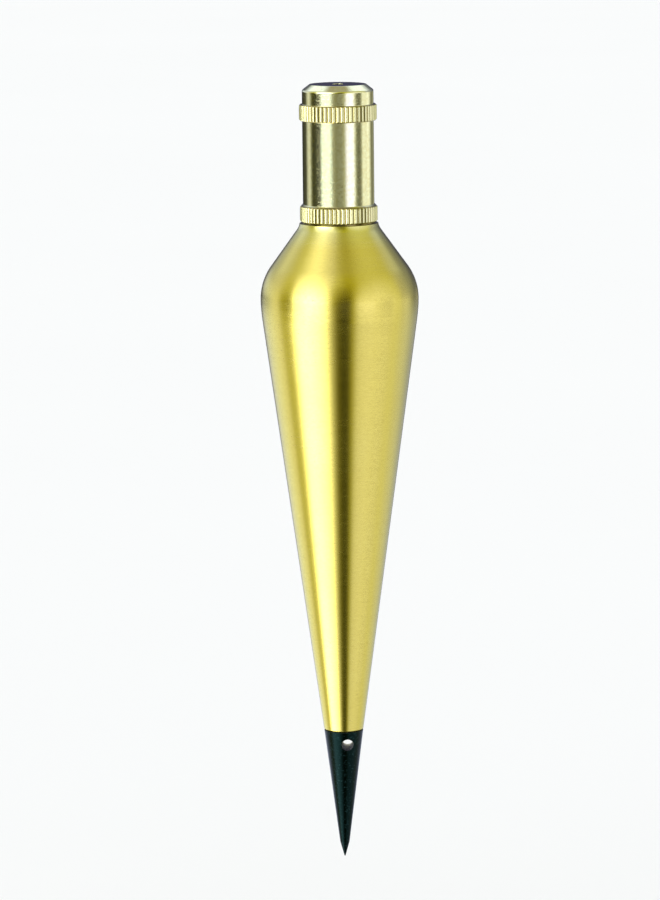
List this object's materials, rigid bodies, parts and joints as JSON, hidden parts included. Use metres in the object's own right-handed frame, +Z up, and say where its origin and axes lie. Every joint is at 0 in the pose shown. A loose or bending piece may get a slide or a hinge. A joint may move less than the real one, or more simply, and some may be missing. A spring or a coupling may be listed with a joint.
{
  "type": "plumb bob",
  "caption": "Turned brass plumb bob with a knurled screw cap that holds the line's knot and a replaceable hardened steel point.",
  "frame": {"origin": "centre of the line hole's mouth, on the flat top of the cap; the whole bob hangs below it", "axes": "+Z up along the turned axis, the way the line leaves; the cross hole in the tip runs along Y, its centre 0.8 mm towards +X"},
  "size_m": [0.035, 0.035, 0.1735],
  "materials": {
    "satin_brass": "satin lathe-brushed",
    "polished_brass": "polished",
    "black_steel": "black oxide"
  },
  "bodies": {
    "body": {"brass_body": "satin_brass"},
    "cap": {"knurled_cap": "polished_brass"},
    "tip": {"steel_tip": "black_steel"}
  },
  "joints": [
    {"name": "cap_lift", "type": "slide", "parent": "body", "child": "cap", "axis": [0, 0, 1], "range_m": [0, 0.012]},
    {"name": "tip_drop", "type": "slide", "parent": "body", "child": "tip", "axis": [0, 0, -1], "range_m": [0, 0.0105]}
  ]
}
